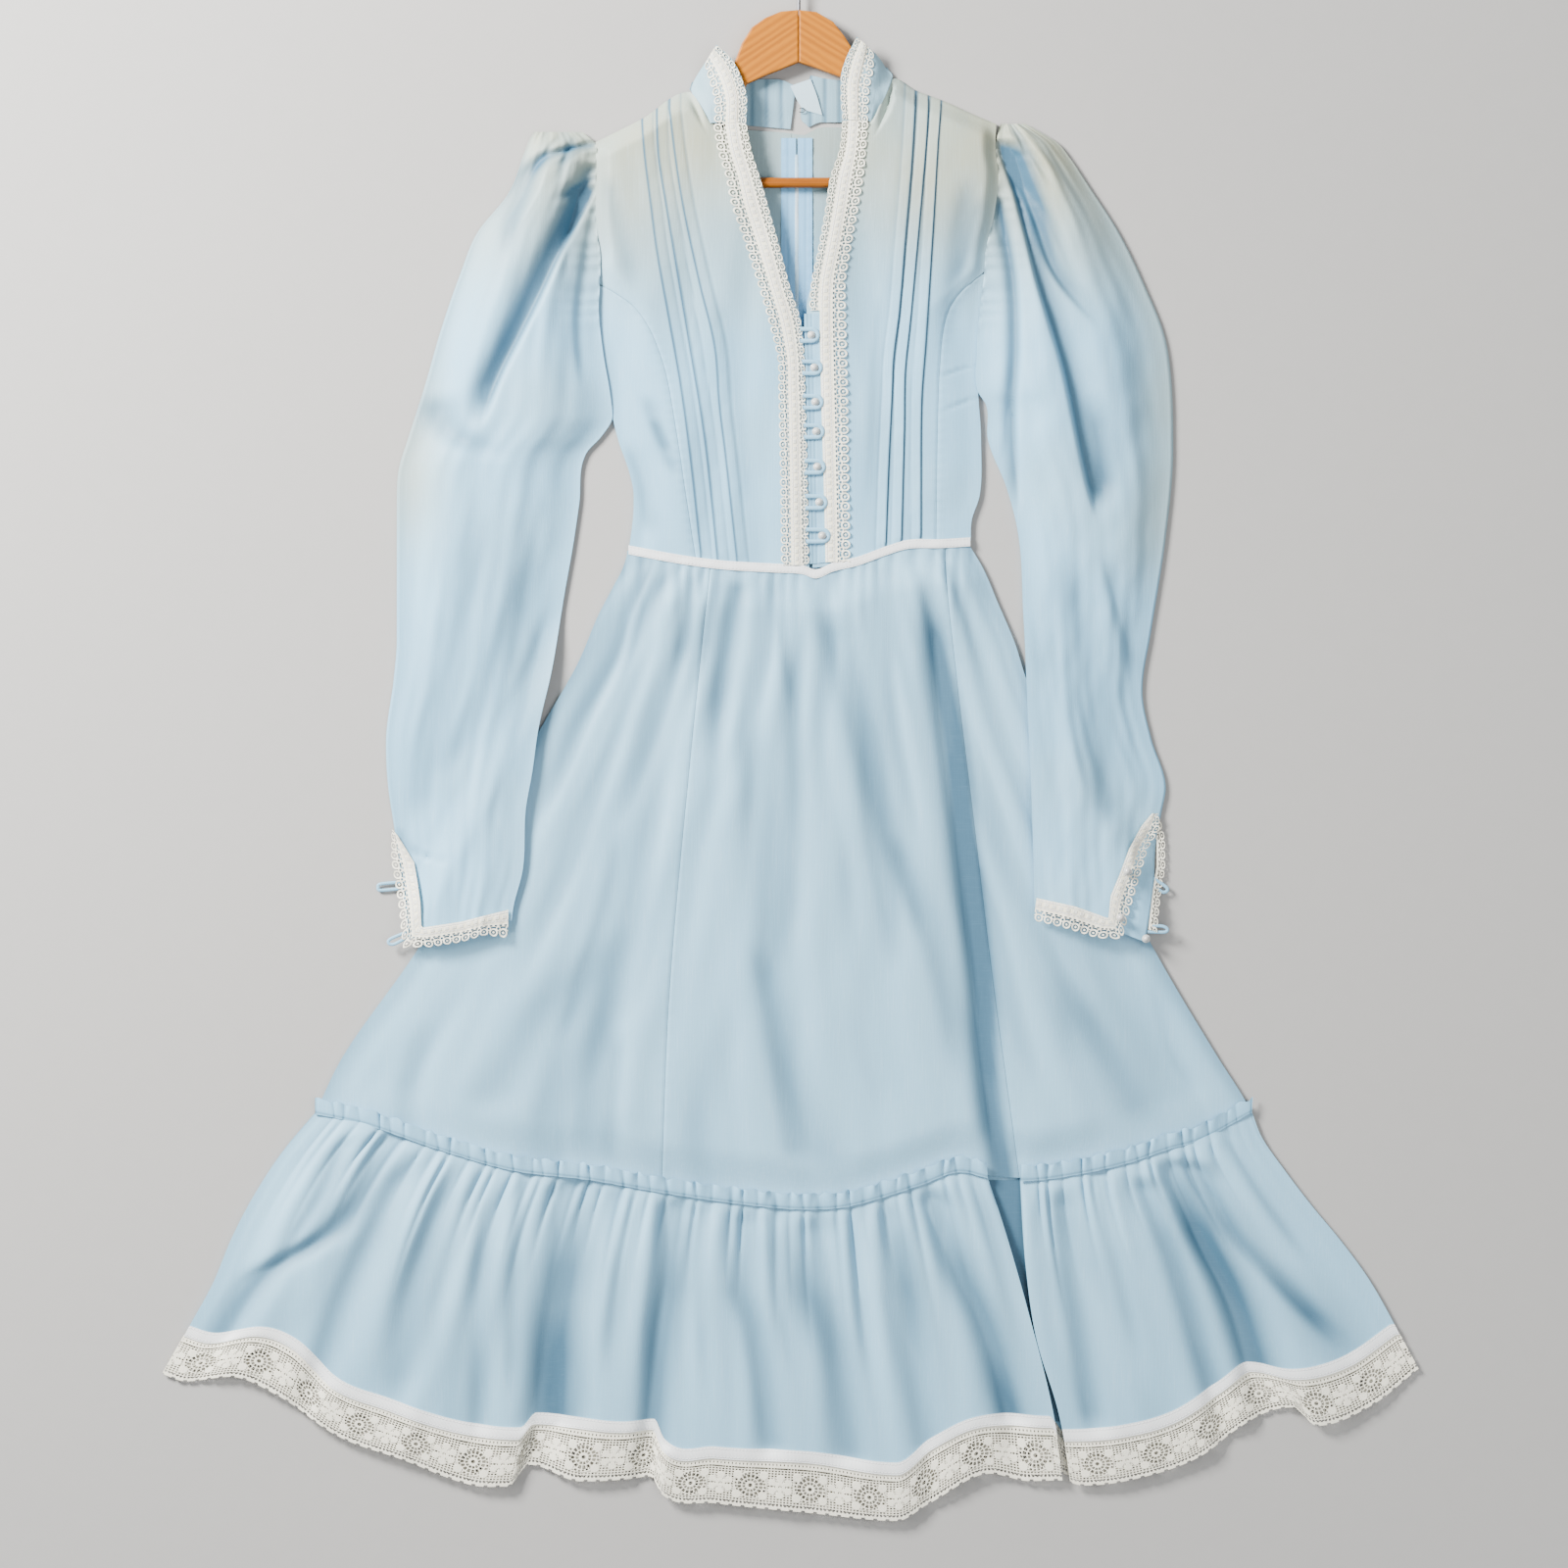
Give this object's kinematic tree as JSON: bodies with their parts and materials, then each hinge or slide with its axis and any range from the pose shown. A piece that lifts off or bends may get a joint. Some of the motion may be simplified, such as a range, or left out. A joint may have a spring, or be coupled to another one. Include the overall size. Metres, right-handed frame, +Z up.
{
  "type": "prairie dress on a wooden hanger",
  "caption": "Long-sleeved midi prairie dress laid flat over a wooden hanger, with a tucked, buttoned bodice, a lace-trimmed V-neck and a gathered lace-edged ruffle.",
  "frame": {"origin": "on the surface that the garment lies on, under the middle of its bounding box", "axes": "+Y runs from the hem towards the collar and hook, +X to the right as the front is seen from above, and +Z up from the surface"},
  "size_m": [1.1362, 1.4225, 0.0243],
  "materials": {
    "powder_blue_cloth": "woven poly-cotton with a slight satin sheen",
    "ivory_lace": "matt cotton lace",
    "white_satin": "satin ribbon",
    "pearl": "pearl gloss",
    "honey_wood": "clear varnish",
    "dark_steel": "darkened wire"
  },
  "bodies": {
    "root": {"back_left": "powder_blue_cloth", "back_right": "powder_blue_cloth", "back_zip": "powder_blue_cloth", "collar_back_left": "powder_blue_cloth", "collar_back_right": "powder_blue_cloth", "collar_left": "powder_blue_cloth", "collar_right": "powder_blue_cloth", "collar_trim_left": "ivory_lace", "collar_trim_right": "ivory_lace", "cuff_button_1": "pearl", "cuff_button_2": "pearl", "cuff_loop_1": "powder_blue_cloth", "cuff_loop_2": "powder_blue_cloth", "cuff_loop_3": "powder_blue_cloth", "cuff_loop_4": "powder_blue_cloth", "cuff_trim_left": "ivory_lace", "cuff_trim_right": "ivory_lace", "front_button_1": "pearl", "front_button_2": "pearl", "front_button_3": "pearl", "front_button_4": "pearl", "front_button_5": "pearl", "front_button_6": "pearl", "front_button_7": "pearl", "front_left": "powder_blue_cloth", "front_loop_1": "powder_blue_cloth", "front_loop_2": "powder_blue_cloth", "front_loop_3": "powder_blue_cloth", "front_loop_4": "powder_blue_cloth", "front_loop_5": "powder_blue_cloth", "front_loop_6": "powder_blue_cloth", "front_loop_7": "powder_blue_cloth", "front_right": "powder_blue_cloth", "hanger_arm_left": "honey_wood", "hanger_arm_right": "honey_wood", "hanger_bar": "honey_wood", "hanger_hook": "dark_steel", "hem_lace_back": "ivory_lace", "hem_lace_left": "ivory_lace", "hem_lace_right": "ivory_lace", "hem_ribbon_left": "white_satin", "hem_ribbon_right": "white_satin", "neck_trim_left": "ivory_lace", "neck_trim_right": "ivory_lace", "ruffle_back": "powder_blue_cloth", "ruffle_heading_left": "powder_blue_cloth", "ruffle_heading_right": "powder_blue_cloth", "ruffle_left": "powder_blue_cloth", "ruffle_pleat": "powder_blue_cloth", "ruffle_right": "powder_blue_cloth", "side_front_left": "powder_blue_cloth", "side_front_right": "powder_blue_cloth", "skirt_back": "powder_blue_cloth", "skirt_gore_centre": "powder_blue_cloth", "skirt_gore_left": "powder_blue_cloth", "skirt_gore_right": "powder_blue_cloth", "sleeve_left": "powder_blue_cloth", "sleeve_right": "powder_blue_cloth", "waist_ribbon": "white_satin"}
  },
  "joints": []
}
